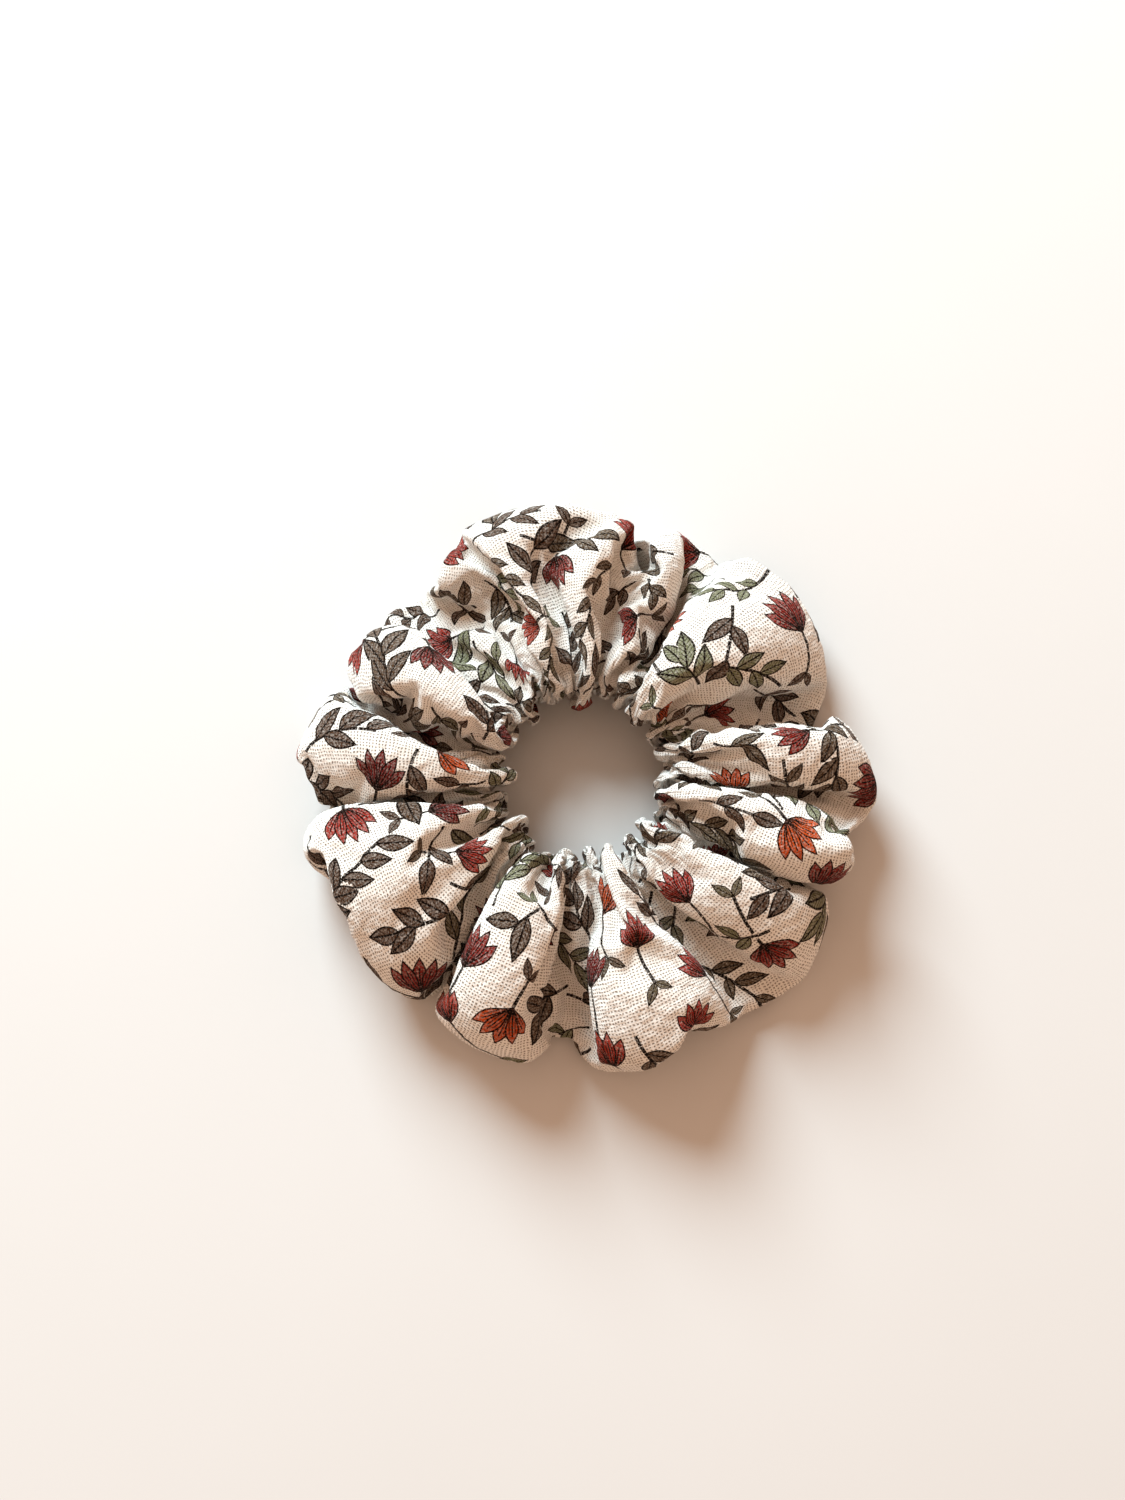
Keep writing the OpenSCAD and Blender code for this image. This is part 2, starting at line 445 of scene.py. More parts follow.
class Cloth:
    """The gathered tube on its fine grid, with each point's place in the flat cloth."""

    # Steps from a face's column and row to those of its four corners
    CORNER_COLUMNS, CORNER_ROWS = np.array([0, 0, 1, 1]), np.array([0, 1, 1, 0])

    def __init__(self, sim_points):
        grid = refine(sim_points, FINER)
        self.columns, self.rows = grid.shape[:2]
        self.step = (TUBE_LENGTH / self.columns / MM, TUBE_ROUND / self.rows / MM)
        closing_angle = GATHERS[0] + CLOSING_SEAM_SHARE * (GATHERS[1] - GATHERS[0])
        self.closing_column = self.column_at(closing_angle)
        self.seam_row = round(LONG_SEAM_SHARE * self.rows)
        self.along_mm = ((np.arange(self.columns) - self.closing_column) % self.columns) * self.step[0]
        self.round_mm = ((np.arange(self.rows) - self.seam_row) % self.rows) * self.step[1]
        signed_along = self._signed(self.along_mm, TUBE_LENGTH / MM)[:, None]
        signed_round = self._signed(self.round_mm, TUBE_ROUND / MM)[None, :]
        relief = seam_relief(signed_along, signed_round)
        relief = relief + 0.10 * smooth_noise(grid.shape[:2], self.step, 1.8, 5, 11)
        grid = grid + relief[..., None] * MM * grid_normals(grid)
        low, high = grid.min((0, 1)), grid.max((0, 1))
        middle = (low + high) / 2
        self.points = grid - (middle[0], middle[1], 0)
        self.points[..., 2] = np.maximum(self.points[..., 2] - low[2], 0) + 0.1 * MM
        self.normals = grid_normals(self.points)

    @staticmethod
    def _signed(values, full):
        return (values + full / 2) % full - full / 2

    def column_at(self, angle):
        """The grid column that was gathered to this angle of the loop."""
        return round((angle - LOOP_START) / math.tau * self.columns)

    def corner_places(self, columns, rows):
        """Where in the flat cloth the four corners of each face are, in mm."""
        u = self.along_mm[columns][:, None] + self.step[0] * self.CORNER_COLUMNS
        v = self.round_mm[rows][:, None] + self.step[1] * self.CORNER_ROWS
        return u, v

    def find_top(self, clock, radius_mm, pointing):
        """Where in the flat cloth a place on the upper side is, and which way there points along
        a direction that is seen from above."""
        a, d = math.radians(90 - clock), math.radians(90 - pointing)
        target = np.array([math.cos(a), math.sin(a)]) * radius_mm * MM
        off = np.linalg.norm(self.points[..., :2] - target, axis=-1)
        score = self.points[..., 2] - 3 * np.maximum(off - 0.8 * MM, 0)
        i, j = np.unravel_index(score.argmax(), score.shape)
        around = [np.roll(self.points, -s, axis)[i, j, :2] for axis in (0, 1) for s in (2, -2)]
        way = np.array([math.cos(d), math.sin(d)])
        heading = math.atan2((around[2] - around[3]) @ way, (around[0] - around[1]) @ way)
        return self.along_mm[i], self.round_mm[j], heading


class Cuts:
    """Where the cloth is cut into lengths: on one line round the tube in each puff. A line keeps
    as far as it can from the planes of the gathers beside it."""

    # Shares of a puff between which its cut lies. The closing seam is clear of the first cut.
    LOWEST, HIGHEST = 0.15, 0.85
    # How many columns a cut may shift by from one row to the next
    SHIFTS = (0, -1, 1, -2, 2)

    def __init__(self, cloth):
        self.cloth = cloth
        self.lines = [self._line(puff) for puff in range(len(JOINTS))]
        self.lines.append(self.lines[0] + cloth.columns)

    def _distance(self, columns, rows, gather):
        """How far points of the cloth are past the plane of a gather, counterclockwise."""
        points = self.cloth.points[columns % self.cloth.columns, rows % self.cloth.rows]
        return points[..., :2] @ np.array([-math.sin(gather), math.cos(gather)])

    def _line(self, puff):
        """The column of the cut in each row: the way round the tube whose tightest place has the
        most room. It starts and ends at the middle of the outer edge."""
        start, end = GATHERS[puff], GATHERS[puff + 1]
        lowest = CLOSING_SEAM_SHARE + 0.04 if puff == 0 else self.LOWEST
        first, last = (self.cloth.column_at(start + s * (end - start)) for s in (lowest, self.HIGHEST))
        columns, rows = np.arange(first, last + 1), np.arange(self.cloth.rows)
        grid = np.ix_(columns, rows)
        room = np.minimum(self._distance(*grid, start), -self._distance(*grid, end))
        order = (np.arange(len(rows) + 1) + len(rows) // 2) % len(rows)
        best = np.full(len(columns), -np.inf)
        middle = len(columns) // 2
        best[middle] = room[middle, order[0]]
        came_by = []
        for row in order[1:]:
            reach = max(self.SHIFTS)
            padded = np.pad(best, reach, constant_values=-np.inf)
            choices = np.stack([padded[reach + s:reach + s + len(best)] for s in self.SHIFTS])
            came_by.append(np.array(self.SHIFTS)[choices.argmax(0)])
            best = np.minimum(choices.max(0), room[:, row])
        line, i = np.zeros(len(rows), int), middle
        for row, step in zip(order[:0:-1], came_by[::-1]):
            line[row] = columns[i]
            i += step[i]
        return line

    def _room(self, line, gather, side):
        """The least distance between a cut and the plane of a gather on one side of it."""
        following = np.roll(line, -1)
        places = [
            (column, row + 1)
            for row, (here, after) in enumerate(zip(line, following))
            for column in range(min(here, after), max(here, after) + 1)
        ]
        return max(0, (side * self._distance(*np.array(places).T, gather)).min())

    def band(self, k):
        """How far the cuts of length k lie before and after its gather, less a little."""
        gather, (before, after) = JOINTS[k]["gather"], self.lines[k:k + 2]
        return 0.98 * self._room(before, gather, -1), 0.98 * self._room(after, gather, 1)

    def faces(self, k):
        """The column and row of each face of length k."""
        starts, ends = self.lines[k:k + 2]
        columns = np.concatenate([np.arange(*span) for span in zip(starts, ends)])
        rows = np.repeat(np.arange(len(starts)), ends - starts)
        return columns % self.cloth.columns, rows

    def columns_in(self, k, row):
        """The columns of length k in one row, with its two cuts."""
        return np.arange(self.lines[k][row], self.lines[k + 1][row] + 1) % self.cloth.columns


# ---- The printed pattern

def onward(x, y, heading, distance):
    """The place some way on from x, y along a heading."""
    return x + distance * math.cos(heading), y + distance * math.sin(heading)


class Layer:
    """One layer of the print. Each face of the cloth belongs to at most one motif of a layer,
    and its corners hold their places in that motif: x along it, y across it, and its tint."""

    def __init__(self, cloth):
        self.cloth = cloth
        shape = (cloth.columns, cloth.rows)
        self.x = cloth.along_mm[:, None] + cloth.step[0] / 2 + np.zeros(shape)
        self.y = cloth.round_mm[None, :] + cloth.step[1] / 2 + np.zeros(shape)
        self.nearest = np.full(shape, 1.0)
        # A face that no motif takes stays far outside one
        self.motif = np.full(shape + (5,), (1e3, 0.0, 0.0, 1.0, 0.0))

    def add(self, x, y, heading, scale, tint, middle, half_size):
        """Lays a motif with its base at x, y. middle is how far along it its middle is, and
        half_size its half length and half width, all in mm."""
        cx, cy = onward(x, y, heading, middle)
        reach = max(half_size) + 1
        spans = ((self.x[:, 0], cx), (self.y[0], cy))
        columns, rows = (np.nonzero(np.abs(places - c) < reach)[0] for places, c in spans)
        window = np.ix_(columns, rows)
        dx, dy = self.x[window] - cx, self.y[window] - cy
        along = dx * math.cos(heading) + dy * math.sin(heading)
        across = dy * math.cos(heading) - dx * math.sin(heading)
        distance = np.hypot(along / (half_size[0] + 0.8), across / (half_size[1] + 0.8))
        nearer = distance < self.nearest[window]
        self.nearest[window] = np.where(nearer, distance, self.nearest[window])
        kept = self.motif[window]
        kept[nearer] = (x, y, heading, scale, tint)
        self.motif[window] = kept

    def corner_values(self, columns, rows):
        """The values at the corners of the faces in these columns and rows."""
        x0, y0, heading, scale, tint = np.moveaxis(self.motif[columns, rows], -1, 0)
        u, v = self.cloth.corner_places(columns, rows)
        dx, dy = u - x0[:, None], v - y0[:, None]
        c, s = np.cos(heading)[:, None], np.sin(heading)[:, None]
        along = (dx * c + dy * s) / scale[:, None]
        across = (dy * c - dx * s) / scale[:, None]
        return np.stack([along, across, tint[:, None] + 0 * along], -1)


class Print:
    """The pattern on the cloth: flowers and leafy branches strewn at all angles."""

    LAYERS = ("stem", "leaf_a", "leaf_b", "flower")
    # Width in mm of the square cells that record which cloth is already printed
    CELL = 0.5

    def __init__(self, cloth):
        self.layers = {name: Layer(cloth) for name in self.LAYERS}
        self.size = (TUBE_LENGTH / MM, TUBE_ROUND / MM)
        self.taken = np.zeros([int(s / self.CELL) + 1 for s in self.size], bool)
        self.flowers = []
        self.rng = np.random.default_rng(23)
        for clock, radius, pointing, tint in TOP_FLOWERS:
            self.add_flower(*cloth.find_top(clock, radius, pointing), tint)
        for _ in range(FLOWER_TRIES):
            self.try_flower()
        for _ in range(BRANCH_TRIES):
            self.try_branch()

    def _inside(self, x, y):
        return 0 <= x < self.size[0] and 0 <= y < self.size[1]

    def _cells(self, x, y, radius):
        """The cells of the cloth within a square of this half width."""
        i, j, r = int(x / self.CELL), int(y / self.CELL), round(radius / self.CELL)
        return slice(max(0, i - r), i + r + 1), slice(max(0, j - r), j + r + 1)

    def is_free(self, x, y, radius):
        return not self.taken[self._cells(x, y, radius)].any()

    def take(self, x, y, radius):
        self.taken[self._cells(x, y, radius)] = True

    def add_stem(self, points):
        """A thin line through points that lie close together."""
        for (x0, y0), (x1, y1) in zip(points[:-1], points[1:]):
            length = math.hypot(x1 - x0, y1 - y0)
            heading = math.atan2(y1 - y0, x1 - x0)
            self.layers["stem"].add(x0, y0, heading, 1, length, length / 2, (length / 2, 0.8))

    def add_leaf(self, x, y, heading, length, tint, layer):
        self.layers[layer].add(x, y, heading, length, tint, length / 2, (length / 2, length * 0.22))
        for share in (0.25, 0.5, 0.75):
            self.take(*onward(x, y, heading, share * length), 0.8)

    def add_flower(self, x, y, heading, tint):
        """A flower centred on x, y, on a short stem with one or two small leaves."""
        size = self.rng.uniform(7.2, 8.6)
        bx, by = onward(x, y, heading, -0.55 * size)
        self.layers["flower"].add(bx, by, heading, size, tint, 0.52 * size, (0.55 * size, 0.6 * size))
        self.take(x, y, 0.5 * size)
        self.flowers.append((x, y))
        bend = self.rng.uniform(-0.35, 0.35)
        points = self._walk(bx, by, heading + math.pi + bend / 2, bend, self.rng.integers(3, 7))
        self.add_stem(points)
        if len(points) > 2:
            (px, py), (ex, ey) = points[-2:]
            back = math.atan2(ey - py, ex - px)
            tint = self.rng.uniform(0, 1)
            for side, layer in ((1, "leaf_a"), (-1, "leaf_b")):
                self.add_leaf(ex, ey, back + side * 0.75, self.rng.uniform(3.2, 4.4), tint, layer)

    def _walk(self, x, y, heading, bend, steps):
        """Points along a stem that bends evenly, as far as the cloth's edge."""
        points = [(x, y)]
        for _ in range(steps):
            x, y = onward(x, y, heading, STEM_STEP_MM)
            if not self._inside(x, y):
                break
            points.append((x, y))
            heading += bend * STEM_STEP_MM / 4
        return points

    def try_flower(self):
        x, y = self.rng.uniform(0, self.size[0]), self.rng.uniform(0, self.size[1])
        heading, tint = self.rng.uniform(0, math.tau), self.rng.uniform(0, 1)
        alone = all(math.hypot(x - fx, y - fy) > FLOWER_SPACING_MM for fx, fy in self.flowers)
        if alone and self.is_free(x, y, 4):
            self.add_flower(x, y, heading, tint)

    def try_branch(self):
        """A curved stem through free cloth, with leaves on alternate sides and one at its tip."""
        x, y = self.rng.uniform(0, self.size[0]), self.rng.uniform(0, self.size[1])
        heading, bend = self.rng.uniform(0, math.tau), self.rng.uniform(-0.3, 0.3)
        points = self._walk(x, y, heading, bend, self.rng.integers(4, 20))
        free = next((k for k, p in enumerate(points) if not self.is_free(*p, 0.6)), len(points))
        points = points[:free]
        if len(points) < 4:
            return
        tint, length = self.rng.uniform(0, 1), self.rng.uniform(5.5, 8.8)
        side = self.rng.choice((-1, 1))
        leaves = []
        for k, ((x0, y0), (x1, y1)) in enumerate(zip(points[:-1], points[1:])):
            tip = k + 2 == len(points)
            if k % 3 == 0 and not tip:
                continue
            turn = 0 if tip else side * self.rng.uniform(0.5, 0.8)
            way = math.atan2(y1 - y0, x1 - x0) + turn
            leaf_length = length * self.rng.uniform(0.75, 1.05)
            if self.leaf_fits(x1, y1, way, leaf_length):
                layer = "leaf_b" if turn < 0 else "leaf_a"
                leaves.append((x1, y1, way, leaf_length, tint, layer))
            side = -side
        if len(leaves) < len(points) / 3:
            return
        for leaf in leaves:
            self.add_leaf(*leaf)
        self.add_stem(points)
        for px, py in points:
            self.take(px, py, 0.7)

    def leaf_fits(self, x, y, heading, length):
        middle = onward(x, y, heading, 0.65 * length)
        return self._inside(*middle) and self.is_free(*middle, 0.8)


# ---- Materials

def connect(slot, value):
    """Feeds a node's input with a field, a socket or a plain value."""
    value = getattr(value, "socket", value)
    if isinstance(value, bpy.types.NodeSocket):
        slot.id_data.links.new(value, slot)
    else:
        slot.default_value = value


def operation(kind):
    """A method of Field that works out one kind of arithmetic."""
    return lambda field, *others: field.join(kind, *others)


class Field:
    """A number that varies over a surface, written as ordinary arithmetic on shader sockets."""

    def __init__(self, tree, socket):
        self.tree, self.socket = tree, socket

    def join(self, kind, *others, clamp=False):
        node = self.tree.nodes.new("ShaderNodeMath")
        node.operation = kind
        node.use_clamp = clamp
        for slot, value in zip(node.inputs, (self, *others)):
            connect(slot, value)
        return Field(self.tree, node.outputs[0])

    __add__ = operation("ADD")
    __sub__ = operation("SUBTRACT")
    __mul__ = operation("MULTIPLY")
    __truediv__ = operation("DIVIDE")
    __pow__ = operation("POWER")
    __lt__ = operation("LESS_THAN")
    __gt__ = operation("GREATER_THAN")
    either = operation("MAXIMUM")
    size = operation("ABSOLUTE")
    sine = operation("SINE")
    fraction = operation("FRACT")

    def clamped(self):
        return self.join("ADD", 0.0, clamp=True)

    def ramp(self, low, high):
        """0 where this is below low, 1 above high, and even between them."""
        return ((self - low) / (high - low)).clamped()


class Material:
    """A node material with one Principled shader, and short ways to add to it."""

    def __init__(self, name, **shader_values):
        self.material = bpy.data.materials.new(name)
        self.material.use_nodes = True
        self.tree = self.material.node_tree
        self.shader = self.tree.nodes["Principled BSDF"]
        for socket, value in shader_values.items():
            self.shader.inputs[socket.replace("_", " ")].default_value = value

    def node(self, kind, **inputs):
        made = self.tree.nodes.new(kind)
        for key, value in inputs.items():
            connect(made.inputs[key.replace("_", " ")], value)
        return made

    def attribute(self, name):
        """The three numbers of an attribute."""
        source = self.node("ShaderNodeAttribute")
        source.attribute_name = name
        parts = self.node("ShaderNodeSeparateXYZ", Vector=source.outputs["Vector"])
        return [Field(self.tree, s) for s in parts.outputs]

    def noise(self, place, scale, detail=2.0):
        made = self.node("ShaderNodeTexNoise", Vector=place, Scale=scale, Detail=detail)
        return Field(self.tree, made.outputs["Fac"])

    def vector(self, x, y, z=0.0):
        return self.node("ShaderNodeCombineXYZ", X=x, Y=y, Z=z).outputs[0]

    def mix(self, share, under, over):
        made = self.node("ShaderNodeMix")
        made.data_type = "RGBA"
        connect(made.inputs["Factor"], share)
        colours = [s for s in made.inputs if s.type == "RGBA"]
        connect(colours[0], under)
        connect(colours[1], over)
        return next(s for s in made.outputs if s.type == "RGBA")

    def bump(self, height, distance, strength, under=None):
        made = self.node("ShaderNodeBump", Height=height, Distance=distance, Strength=strength)
        if under is not None:
            connect(made.inputs["Normal"], under)
        return made.outputs["Normal"]

    def finish(self, colour, normal):
        connect(self.shader.inputs["Base Color"], colour)
        connect(self.shader.inputs["Normal"], normal)
        return self.material


CREAM = (0.94, 0.92, 0.885, 1)
# Painted shade: a warm tan that random patches of the cloth are mixed towards
CREAM_PAINTED_SHADE = (0.80, 0.73, 0.63, 1)
CREAM_GAP = (0.25, 0.185, 0.130, 1)
INK = (0.012, 0.006, 0.003, 1)
LEAF_BROWN = (0.105, 0.047, 0.018, 1)
LEAF_GREY = (0.130, 0.080, 0.035, 1)
LEAF_SAGE = (0.235, 0.245, 0.130, 1)
PETAL_BRICK = (0.205, 0.018, 0.013, 1)
PETAL_CORAL = (0.385, 0.041, 0.026, 1)
PETAL_ORANGE = (0.580, 0.102, 0.015, 1)
# The braid's white in painted shade, and lit, for its grooves and ridges
ELASTIC_PAINTED_SHADE, ELASTIC_LIGHT = (0.62, 0.60, 0.56, 1), (0.86, 0.85, 0.82, 1)
ELASTIC_SOILED = (0.70, 0.66, 0.58, 1)
# The thread's cream in painted shade, and lit, for the grooves and ridges of its twist
THREAD_PAINTED_SHADE, THREAD_LIGHT = (0.60, 0.53, 0.43, 1), (0.82, 0.76, 0.66, 1)
TABLE_DARK, TABLE_LIGHT = (0.695, 0.685, 0.670, 1), (0.720, 0.712, 0.700, 1)
# Angle in radians, length and half width of each petal, as shares of the flower, back to front
PETALS = [
    (0.72, 0.9, 0.155), (-0.72, 0.9, 0.155), (0, 1.0, 0.15), (0.36, 0.97, 0.145),
    (-0.36, 0.97, 0.145),
]


def leaf_shapes(x, y):
    """(inside, line) of a pointed leaf that runs from x = 0 to 1, with its rib and veins."""
    half_width = ((x.clamped() ** 0.8) * math.pi).sine() * 0.225
    edge = half_width - y.size()
    inside = edge > 0.0
    outline = edge < 0.046
    rib = y.size() < 0.022
    veins = (((x - y.size() * 1.3) * 8.0).fraction() < 0.24) * 0.75
    return inside, inside * outline.either(rib).either(veins)


def petal_shapes(x, y, angle, length, half_width):
    """(inside, line) of one pointed petal that grows from the flower's base at an angle."""
    c, s = math.cos(angle), math.sin(angle)
    along = (x * c + y * s) / length
    across = (y * c - x * s).size()
    edge = ((along.clamped() ** 1.25) * math.pi).sine() * half_width - across
    inside = edge > 0.0
    outline = edge < 0.034
    vein = (across < 0.014) * (along < 0.75)
    side_vein = ((across - half_width * 0.42).size() < 0.011) * (along < 0.66) * 0.85
    return inside, inside * outline.either(vein).either(side_vein)


def add_leaves(m, colour, name, printed):
    """One layer of leaves over a colour, brown, grey or sage by their tint."""
    x, y, tint = m.attribute(name)
    inside, line = leaf_shapes(x, y)
    fill = m.mix(tint.ramp(0.4, 0.65), LEAF_BROWN, LEAF_GREY)
    fill = m.mix(tint.ramp(0.72, 0.85), fill, LEAF_SAGE)
    wash = m.noise(m.vector(x * 9.0, y * 22.0, tint * 50.0), 1.0)
    fill = m.mix(wash.ramp(0.35, 0.8) * 0.25, fill, CREAM)
    colour = m.mix(inside * printed, colour, fill)
    return m.mix(line * printed, colour, INK)


def add_flowers(m, colour, printed):
    """The flowers over a colour, from brick to orange by their tint."""
    x, y, tint = m.attribute("flower")
    fill = m.mix(tint.ramp(0.1, 0.45), PETAL_BRICK, PETAL_CORAL)
    fill = m.mix(tint.ramp(0.55, 0.95), fill, PETAL_ORANGE)
    wash = m.noise(m.vector(x * 12.0, y * 12.0, tint * 50.0), 1.0)
    fill = m.mix(wash.ramp(0.45, 0.8) * 0.22, fill, CREAM)
    fill = m.mix((x.ramp(0.0, 0.38) * -1.0 + 1.0) * 0.55, fill, INK)
    for angle, length, half_width in PETALS:
        inside, line = petal_shapes(x, y, angle, length, half_width)
        colour = m.mix(inside * printed, colour, fill)
        colour = m.mix(line * printed, colour, INK)
    return colour


def add_stems(m, colour, printed):
    x, y, length = m.attribute("stem")
    within = (x > -0.12) * ((x - length) < 0.12)
    return m.mix(within * (y.size() < 0.29) * printed, colour, INK)


def gauze_material():
    """Off-white double gauze: an open, uneven weave, crinkled, with print only on the threads, and
    random patches of painted shade.
    """
    m = Material("printed_gauze", Roughness=0.92, Diffuse_Roughness=1.0, Sheen_Weight=0.05,
                 Specular_IOR_Level=0.06)
    u, v, _ = m.attribute("cloth_mm")
    place = m.vector(u, v)
    drift = (m.noise(place, 0.55, 3.0) - 0.5) * 0.9
    warp = ((u + drift) * (math.pi / WEAVE_PITCH_MM)).sine().size()
    weft = ((v + drift) * (math.pi / WEAVE_PITCH_MM)).sine().size()
    slub = (m.noise(m.vector(u * 0.25, v * 3.0), 1.0) + m.noise(m.vector(u * 3.0, v * 0.25), 1.0)) * 0.5
    gap = ((warp * 0.85).either(weft) * -1.0 + 1.0 + (slub - 0.5) * 0.8).ramp(0.31, 0.63)
    bare = m.noise(place, 1.9, 1.0).ramp(0.52, 0.72)
    printed = (gap * -0.55 + 1.0) * (bare * -0.4 + 1.0)
    # Random patches of painted shade: the cream mixed a little towards a warm tan
    painted_shade_patches = m.noise(place, 0.09, 4.0)
    colour = m.mix(painted_shade_patches.ramp(0.3, 0.8) * 0.22, CREAM, CREAM_PAINTED_SHADE)
    colour = m.mix(gap * 0.72, colour, CREAM_GAP)
    colour = add_stems(m, colour, printed)
    for name in ("leaf_b", "leaf_a"):
        colour = add_leaves(m, colour, name, printed)
    colour = add_flowers(m, colour, printed)
    near_opening = (v - OPENING_MM).size().ramp(19.0, 5.0)
    pleats = m.bump(m.noise(m.vector(u * 0.42, v * 0.05), 1.0) * near_opening, 0.004, 0.9)
    crinkle = m.bump(m.noise(place, 0.7, 3.0), 0.0011, 0.5, pleats)
    weave = m.bump(gap * -1.0 + (slub * 0.5), 0.0003, 1.0, crinkle)
    return m.finish(colour, weave)


def elastic_material():
    """White braid with fine ribs along it and a herringbone of threads over the rubber; the braid's
    grooves are painted darker, as shade.
    """
    m = Material("braided_elastic", Roughness=0.75, Sheen_Weight=0.2, Specular_IOR_Level=0.3)
    along, across, _ = m.attribute("band_mm")
    braid = ((along * 1.6 + (across * 1.4).fraction() * 2.0) * math.tau).sine()
    soil = m.noise(m.vector(along, across), 0.6, 3.0)
    # Painted shade: darker where the braid is low
    colour = m.mix(braid.ramp(-0.6, 0.9), ELASTIC_PAINTED_SHADE, ELASTIC_LIGHT)
    colour = m.mix(soil.ramp(0.5, 0.9) * 0.3, colour, ELASTIC_SOILED)
    return m.finish(colour, m.bump(braid, 0.00012, 0.7))


def thread_material():
    """Cream sewing thread with a visible twist, whose grooves are painted darker as shade."""
    m = Material("sewing_thread", Roughness=0.6, Sheen_Weight=0.3, Specular_IOR_Level=0.35)
    along, across, _ = m.attribute("thread_mm")
    twist = ((along * 1.9 + across) * math.tau).sine()
    # Painted shade: darker where the twist is low
    colour = m.mix(twist.ramp(-0.8, 0.8), THREAD_PAINTED_SHADE, THREAD_LIGHT)
    return m.finish(colour, m.bump(twist, 0.00006, 0.6))


def table_material():
    """A smooth white table top with the faintest unevenness."""
    m = Material("white_table", Roughness=0.42, Specular_IOR_Level=0.35)
    where = m.node("ShaderNodeTexCoord").outputs["Object"]
    patch = m.noise(where, 6.0, 4.0)
    colour = m.mix(patch.ramp(0.3, 0.8), TABLE_DARK, TABLE_LIGHT)
    fine = m.noise(where, 900.0, 2.0)
    return m.finish(colour, m.bump(fine, 0.00002, 0.15))


# ---- Pieces

def set_vectors(mesh, name, domain, values):
    layer = mesh.attributes.new(name, "FLOAT_VECTOR", domain)
    layer.data.foreach_set("vector", np.asarray(values, np.float32).ravel())


def bend_at(piece, band):
    """Bakes a piece's place into its mesh. The band, from before its gather to after, is not used."""
    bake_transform(piece)


def name_across(kind, joint):
    """The name of a piece that runs across a joint, from the numbers of its two puffs."""
    return kind + "_length_" + "_".join(body.replace("puff_", "") for body in joint["bodies"])


def make_cloth_length(cloth, cuts, k, pattern, material):
    """One length of the cloth tube, from the middle of a puff to the middle of the next."""
    joint = JOINTS[k]
    columns, rows = cuts.faces(k)
    corner_columns = (columns[:, None] + cloth.CORNER_COLUMNS) % cloth.columns
    corner_rows = (rows[:, None] + cloth.CORNER_ROWS) % cloth.rows
    used, faces = np.unique(corner_columns * cloth.rows + corner_rows, return_inverse=True)
    points = cloth.points.reshape(-1, 3)[used]
    faces = faces.reshape(-1, 4).tolist()
    piece = new_mesh_object(name_across("cloth", joint), points, faces, material)
    mesh = piece.data
    u, v = cloth.corner_places(columns, rows)
    set_vectors(mesh, "cloth_mm", "CORNER", np.stack([u, v, 0 * u], -1))
    for name, layer in pattern.layers.items():
        set_vectors(mesh, name, "CORNER", layer.corner_values(columns, rows))
    mesh.normals_split_custom_set_from_vertices(cloth.normals.reshape(-1, 3)[used].tolist())
    bend_at(piece, cuts.band(k))
    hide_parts(*[body.replace("puff", "cloth_puff") for body in joint["bodies"]])


def band_profile():
    """Round the elastic's cross-section: (outwards, upwards, across in mm) of each point, with
    a rib for each cord of rubber in the braid."""
    ribs, per_rib = 8, 6
    half_t, half_w = ELASTIC_THICK / 2, ELASTIC_WIDTH / 2
    points = []
    for side in (1, -1):
        for k in range(ribs * per_rib):
            share = (k + 0.5) / (ribs * per_rib)
            bulge = 0.86 + 0.14 * abs(math.sin(math.pi * share * ribs))
            up = side * half_w * (2 * share - 1) * 0.98
            points.append((side * half_t * bulge, up, share * ELASTIC_WIDTH / MM))
    return points


def make_band(name, start, end, radius, material, rippling):
    """A stretch of elastic along the loop. The braid's faces ripple slightly as it relaxes."""
    profile = band_profile()
    steps = max(4, int((end - start) * radius / (0.35 * MM)))
    points, values = [], []
    for i in range(steps + 1):
        angle = start + (end - start) * i / steps
        along = angle * radius / MM
        ripple = 1 + rippling * math.sin(math.tau * along / 1.3)
        for out, up, across in profile:
            r = radius + out * ripple
            points.append((r * math.cos(angle), r * math.sin(angle), ELASTIC_Z + up))
            values.append((along, across, 0))
    piece = new_mesh_object(name, points, rod_faces(steps + 1, len(profile)), material)
    set_vectors(piece.data, "band_mm", "POINT", values)
    return piece


def elastic_band(joint, band):
    """The elastic's band round its gather: as near to the cloth's as its straight cuts allow."""
    rooms = [abs(math.sin(joint["gather"] - joint[cut])) for cut in ("cut_from", "cut_to")]
    return [min(width, 0.98 * room * ELASTIC_R) for width, room in zip(band, rooms)]


def make_elastic_length(joint, band, material):
    """One length of the elastic, which ends a hair's breadth short of its two cuts."""
    middle_r = ELASTIC_R + ELASTIC_THICK / 2
    gap = 0.02 * MM / middle_r
    ends = joint["cut_from"] + gap, joint["cut_to"] - gap
    piece = make_band(name_across("elastic", joint), *ends, middle_r, material, 0.06)
    bend_at(piece, elastic_band(joint, band))
    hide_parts(*[body.replace("puff", "elastic") for body in joint["bodies"]])


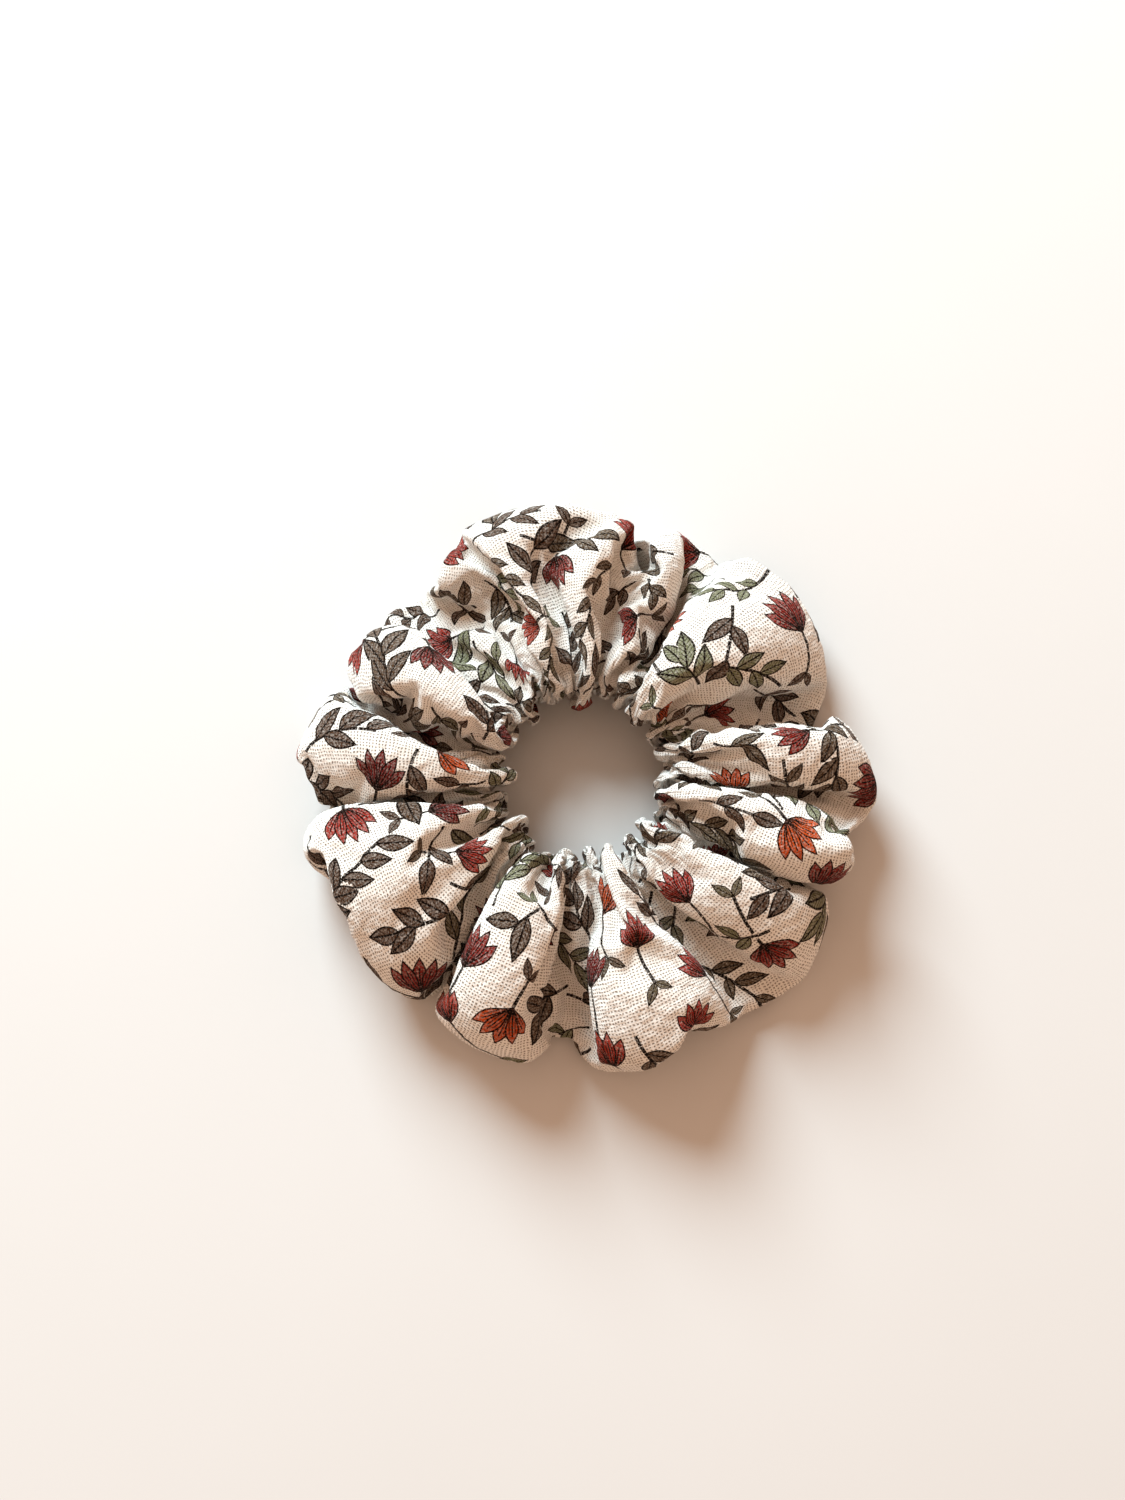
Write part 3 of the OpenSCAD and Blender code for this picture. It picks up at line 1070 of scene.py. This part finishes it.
def thread_tube(path):
    """(points, faces, thread_mm values) of a thread along a path, with rounded ends."""
    sides = 8
    path = np.asarray(path, float)
    reach = np.concatenate([[0], np.cumsum(np.linalg.norm(np.diff(path, axis=0), axis=1))])
    way = np.gradient(path, axis=0)
    way /= np.linalg.norm(way, axis=1, keepdims=True)
    side = np.cross(way, (0, 0, 1))
    weak = np.linalg.norm(side, axis=1) < 1e-3
    side[weak] = np.cross(way[weak], (1, 0, 0))
    side /= np.linalg.norm(side, axis=1, keepdims=True)
    other = np.cross(way, side)
    points, values = [], []
    for k, p in enumerate(path):
        r = THREAD_R * (0.55 if k in (0, len(path) - 1) else 1.0)
        for n in range(sides):
            turn = math.tau * n / sides
            points.append(p + r * (math.cos(turn) * side[k] + math.sin(turn) * other[k]))
            values.append((reach[k] / MM, n / sides, 0))
    return points, rod_faces(len(path), sides), values


def make_threads(name, paths, material):
    """One piece that holds a thread along each path."""
    points, faces, values = [], [], []
    for path in paths:
        tube_points, faces_of_tube, tube_values = thread_tube(path)
        faces += [[len(points) + i for i in face] for face in faces_of_tube]
        points += tube_points
        values += tube_values
    piece = new_mesh_object(name, points, faces, material)
    set_vectors(piece.data, "thread_mm", "POINT", values)
    return piece


def make_long_seam_length(cloth, cuts, k, material):
    """The stitches of the lengthwise seam, which lie just inside the cloth."""
    joint = JOINTS[k]
    columns = cuts.columns_in(k, cloth.seam_row)
    line = cloth.points[columns, cloth.seam_row] - 0.5 * MM * cloth.normals[columns, cloth.seam_row]
    line[:, 2] = np.maximum(line[:, 2], 2 * THREAD_R)
    stitch, gap = 4, 1
    paths = [line[n:n + stitch + 1] for n in range(0, len(line) - stitch, stitch + gap)]
    piece = make_threads(name_across("long_seam", joint), paths, material)
    bend_at(piece, cuts.band(k))
    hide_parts(*[body.replace("puff", "long_seam_thread") for body in joint["bodies"]])


def make_closing_stitches(cloth, band, material):
    """Topstitching beside the folded edge where the two ends of the tube are sewn together."""
    column = (cloth.closing_column + round(STITCH_INSET_MM / cloth.step[0])) % cloth.columns
    ring = cloth.points[column] + 0.10 * MM * cloth.normals[column]
    ring[:, 2] = np.maximum(ring[:, 2], THREAD_R)
    pitch = STITCH_PITCH_MM / cloth.step[1]
    paths = []
    for k in range(int(cloth.rows / pitch)):
        rows = np.arange(int(k * pitch), int(k * pitch) + 4) % cloth.rows
        path = ring[rows]
        path[[0, -1]] -= 0.25 * MM * cloth.normals[column][rows[[0, -1]]]
        paths.append(path)
    piece = make_threads("closing_seam_topstitches", paths, material)
    bend_at(piece, band)
    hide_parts("closing_seam_stitches")


def make_elastic_join(joint, band, elastic, thread):
    """The lap of the elastic's end on the outside of the band, and the zigzag that holds it."""
    start, end = node_arc("elastic_join_stitches")
    lap_r = ELASTIC_R + 1.5 * ELASTIC_THICK
    spare = 0.03
    lap = make_band("elastic_lap", start - spare, end + spare, lap_r, elastic, 0.03)
    bend_at(lap, elastic_band(joint, band))
    turns = 10
    r = lap_r + ELASTIC_THICK / 2
    reach = ELASTIC_WIDTH / 2 - 0.6 * MM
    corners = []
    for k in range(turns + 1):
        angle = start + (end - start) * k / turns
        corners.append((r * math.cos(angle), r * math.sin(angle), ELASTIC_Z + reach * (-1) ** k))
    paths = [np.linspace(a, b, 6) for a, b in zip(corners[:-1], corners[1:])]
    stitches = make_threads("elastic_join_zigzag", paths, thread)
    bend_at(stitches, elastic_band(joint, band))
    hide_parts("elastic_join_stitches")


# ---- Table, light and camera

def make_table():
    bpy.ops.mesh.primitive_plane_add(size=6)
    table = bpy.context.object
    table.name = "table"
    table.data.materials.append(table_material())


def place_facing(name, data, location, way):
    """Puts a light or a camera in the scene, facing one way."""
    placed = bpy.data.objects.new(name, data)
    placed.location = location
    placed.rotation_mode = "QUATERNION"
    placed.rotation_quaternion = way.to_track_quat("-Z", "Y")
    scene.collection.objects.link(placed)
    return placed


def make_lights():
    """A window on the upper left, and the warm light of the room round it."""
    window = bpy.data.lights.new("window", "AREA")
    window.shape = "DISK"
    window.size = 0.75
    window.energy = 29.5
    window.color = (0.75, 0.92, 1.0)
    location = Vector((-0.5, 1.03, 0.77))
    place_facing("window", window, location, -location)
    world = bpy.data.worlds.new("room")
    world.use_nodes = True
    background = world.node_tree.nodes["Background"]
    background.inputs["Color"].default_value = (1.0, 0.67, 0.48, 1)
    background.inputs["Strength"].default_value = 0.57
    scene.world = world
    scene.view_settings.view_transform = "Standard"
    scene.view_settings.look = "Medium High Contrast"


def make_camera():
    """Looks nearly straight down at the ring from the front, at a point a little off its middle."""
    data = bpy.data.cameras.new("camera")
    data.lens = 50
    elevation = math.radians(80)
    distance = 0.386
    back = Vector((0, -math.cos(elevation), math.sin(elevation)))
    aim = Vector((-0.0046, 0.006, 0.4 * CAD_BOX[1].z))
    scene.camera = place_facing("camera", data, aim + distance * back, -back)


# ---- The whole scene

def build():
    make_camera()
    make_lights()
    make_table()
    cloth = Cloth(gather_cloth())
    cuts = Cuts(cloth)
    pattern = Print(cloth)
    gauze, elastic, thread = gauze_material(), elastic_material(), thread_material()
    for k, joint in enumerate(JOINTS):
        make_cloth_length(cloth, cuts, k, pattern, gauze)
        make_elastic_length(joint, cuts.band(k), elastic)
        make_long_seam_length(cloth, cuts, k, thread)
    last_band = cuts.band(len(JOINTS) - 1)
    make_closing_stitches(cloth, last_band, thread)
    make_elastic_join(JOINTS[-1], last_band, elastic, thread)


build()

bpy.context.view_layer.update()
